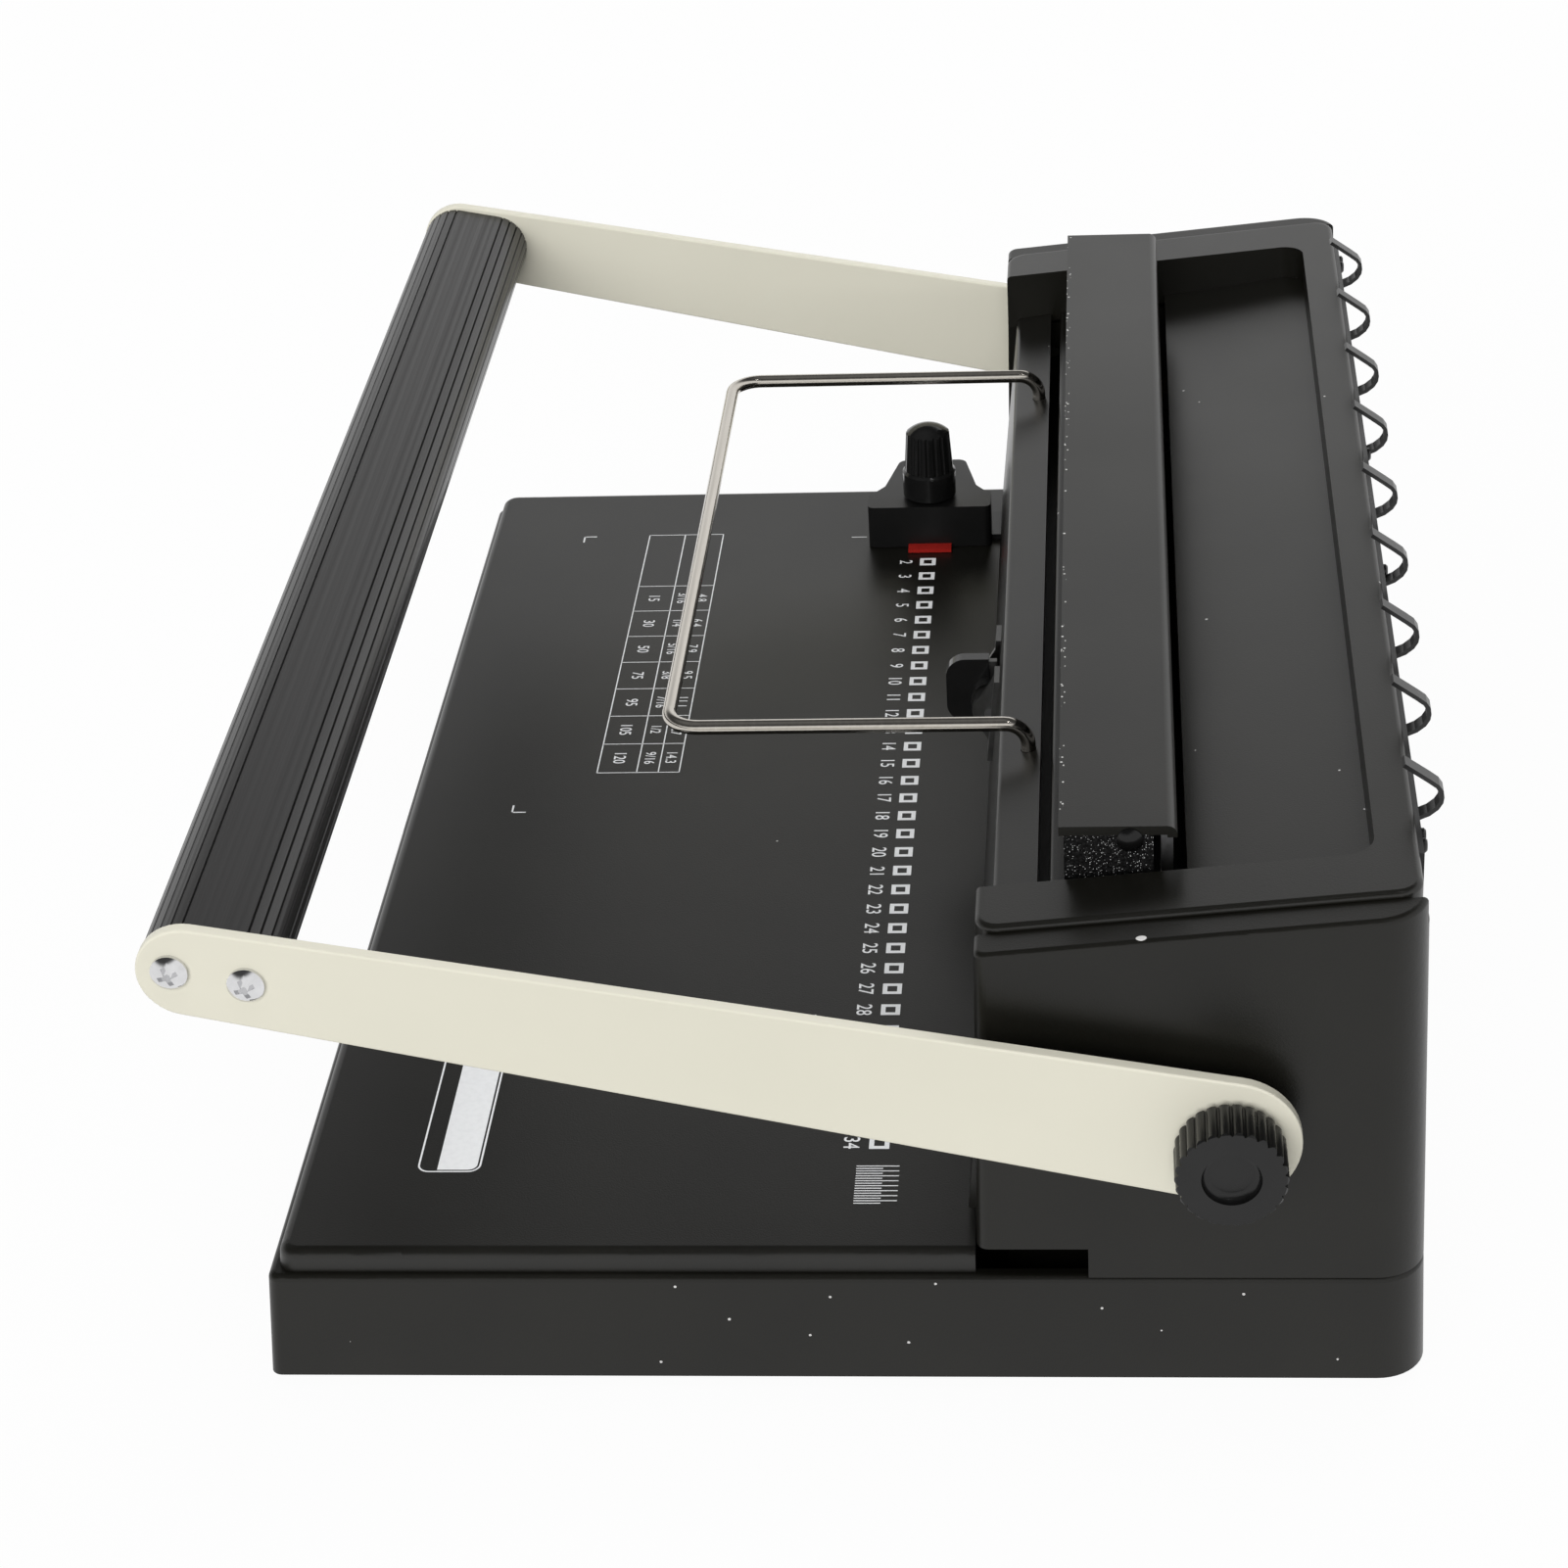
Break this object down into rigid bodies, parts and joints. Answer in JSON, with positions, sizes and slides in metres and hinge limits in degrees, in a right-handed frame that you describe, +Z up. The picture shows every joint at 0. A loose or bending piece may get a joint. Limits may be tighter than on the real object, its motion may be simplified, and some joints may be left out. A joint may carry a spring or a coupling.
{
  "type": "wire binding machine",
  "caption": "Manual desktop machine that punches a row of square holes in sheets and closes a twin-loop wire, with a long bail handle, paper rest and waste drawer.",
  "frame": {"origin": "on the floor under the middle of the machine's outline", "axes": "+X to the user's right along the row of holes, +Y to the back, +Z up"},
  "size_m": [0.3998, 0.2566, 0.1224],
  "materials": {
    "shell": "satin",
    "bed_paint": "satin",
    "panel_paint": "satin",
    "tool_steel": "ground",
    "bronze": "satin",
    "arm_paint": "semi-gloss",
    "screw_chrome": "polished",
    "grip_black": "satin",
    "knob_black": "satin",
    "block_black": "speckled black",
    "rod_nickel": "nickel plated",
    "guide_black": "satin",
    "pointer_red": "gloss",
    "cap_gloss": "gloss",
    "hook_black": "satin",
    "foot_rubber": "matt"
  },
  "bodies": {
    "machine": {"base_tray": "shell", "rubber_feet": "foot_rubber", "bed_cover": "bed_paint", "side_cheek_right": "shell", "side_cheek_left": "shell", "top_lid": "shell", "front_panel": "panel_paint", "rear_panel": "panel_paint", "side_frame_right": "tool_steel", "side_frame_left": "tool_steel", "shaft_bushings": "bronze", "die_plate": "tool_steel", "stripper_plate": "tool_steel", "paper_stop": "tool_steel", "guide_rods": "tool_steel", "closer_anvil": "panel_paint", "lever_bracket": "tool_steel", "lever_pin": "tool_steel", "hook_strip": "hook_black", "rear_screws": "hook_black"},
    "handle": {"arm_right": "arm_paint", "arm_left": "arm_paint", "arm_screws": "screw_chrome", "handle_grip": "grip_black", "cross_shaft": "tool_steel", "pinions": "tool_steel", "pivot_washers": "screw_chrome"},
    "carriage": {"punch_beam": "tool_steel", "punch_pins": "tool_steel", "lift_racks": "tool_steel", "closer_cover": "panel_paint", "closer_block": "block_black", "closer_end_screws": "screw_chrome"},
    "right_knob": {"pivot_knob_right": "knob_black"},
    "left_knob": {"pivot_knob_left": "knob_black"},
    "edge_guide": {"guide_block": "guide_black", "guide_tongue": "tool_steel", "guide_pointer": "pointer_red"},
    "guide_clamp": {"guide_knob": "knob_black"},
    "margin_selector": {"margin_lever": "tool_steel", "lever_cap": "cap_gloss"},
    "support_rod": {"paper_support": "rod_nickel"},
    "drawer": {"waste_drawer": "guide_black"}
  },
  "joints": [
    {"name": "handle_swing", "type": "hinge", "parent": "machine", "child": "handle", "pos_m": [0, 0.0832, 0.0669], "axis": [-1, 0, 0], "range_deg": [0, 75]},
    {"name": "carriage_lift", "type": "slide", "parent": "machine", "child": "carriage", "axis": [0, 0, 1], "range_m": [0, 0.0118]},
    {"name": "right_knob_turn", "type": "hinge", "parent": "handle", "child": "right_knob", "pos_m": [0.19, 0.0832, 0.0669], "axis": [1, 0, 0], "continuous": true},
    {"name": "left_knob_turn", "type": "hinge", "parent": "handle", "child": "left_knob", "pos_m": [-0.19, 0.0832, 0.0669], "axis": [-1, 0, 0], "continuous": true},
    {"name": "guide_slide", "type": "slide", "parent": "machine", "child": "edge_guide", "axis": [1, 0, 0], "range_m": [-0.006, 0.05]},
    {"name": "guide_clamp_turn", "type": "hinge", "parent": "edge_guide", "child": "guide_clamp", "pos_m": [-0.148, 0.01175, 0.05], "axis": [0, 0, 1], "range_deg": [-180, 180]},
    {"name": "margin_tilt", "type": "hinge", "parent": "machine", "child": "margin_selector", "pos_m": [0, 0.03256, 0.0628], "axis": [1, 0, 0], "range_deg": [-12, 12]},
    {"name": "support_lift", "type": "slide", "parent": "machine", "child": "support_rod", "axis": [0, 0, 1], "range_m": [0, 0.03]},
    {"name": "drawer_slide", "type": "slide", "parent": "machine", "child": "drawer", "axis": [0, 1, 0], "range_m": [0, 0.095]}
  ],
  "couplings": [
    {"joint": "carriage_lift", "follows": "handle_swing", "m_per_rad": 0.009}
  ]
}
